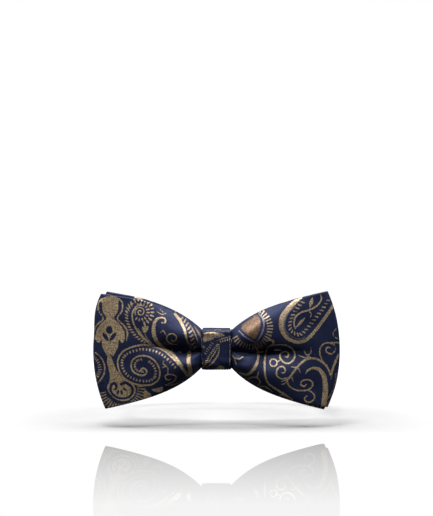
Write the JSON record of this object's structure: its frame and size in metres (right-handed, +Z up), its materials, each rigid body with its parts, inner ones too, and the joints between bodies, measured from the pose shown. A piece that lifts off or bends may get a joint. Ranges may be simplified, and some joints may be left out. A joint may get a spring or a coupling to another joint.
{
  "type": "bow tie",
  "caption": "Pre-tied bow tie: two patterned fabric bows gathered by a wrapped knot, on an adjustable neckband that closes behind with a hook and eye.",
  "frame": {"origin": "middle of the knot's back face, which rests on the wearer's collar", "axes": "+Z up, the bow faces -Y, the neckband goes back along +Y, +X to the right seen from the front"},
  "size_m": [0.121, 0.1519, 0.0584],
  "materials": {
    "jacquard": "navy satin jacquard with antique gold scrolls",
    "satin": "navy satin",
    "interlining": "off-white brushed wadding",
    "thread": "navy sewing thread",
    "nickel": "nickel-plated steel, softly polished"
  },
  "bodies": {
    "bow": {"front_bow_face": "jacquard", "front_bow_interlining": "interlining", "front_bow_lining": "satin", "rear_bow_face": "jacquard", "rear_bow_interlining": "interlining", "rear_bow_lining": "satin", "gather_thread": "thread", "knot_pad": "interlining", "knot_wrap": "jacquard", "knot_stitches": "thread", "neckband_front": "satin"},
    "strap_left": {"neckband_left": "satin", "eye_tab_stitches": "thread"},
    "strap_right": {"neckband_right": "satin", "neckband_return": "satin"},
    "slider": {"slider": "nickel", "slider_tab_stitches": "thread"},
    "eye": {"eye": "nickel"},
    "hook": {"hook": "nickel"}
  },
  "joints": [
    {"name": "strap_left_swing", "type": "hinge", "parent": "bow", "child": "strap_left", "pos_m": [-0.03, 0.004, 0], "axis": [0, 0, 1], "range_deg": [0, 45]},
    {"name": "strap_right_swing", "type": "hinge", "parent": "bow", "child": "strap_right", "pos_m": [0.03, 0.004, 0], "axis": [0, 0, -1], "range_deg": [0, 45]},
    {"name": "slider_slide", "type": "slide", "parent": "strap_right", "child": "slider", "axis": [0, 1, 0], "range_m": [-0.014, 0.014], "deforming": ["neckband_return"]},
    {"name": "eye_swing", "type": "hinge", "parent": "strap_left", "child": "eye", "pos_m": [-0.01357, 0.13311, 0], "axis": [0, 0, 1], "range_deg": [-35, 35]},
    {"name": "hook_swing", "type": "hinge", "parent": "strap_right", "child": "hook", "pos_m": [0.01357, 0.13311, 0], "axis": [0, 0, 1], "range_deg": [-35, 35]}
  ]
}
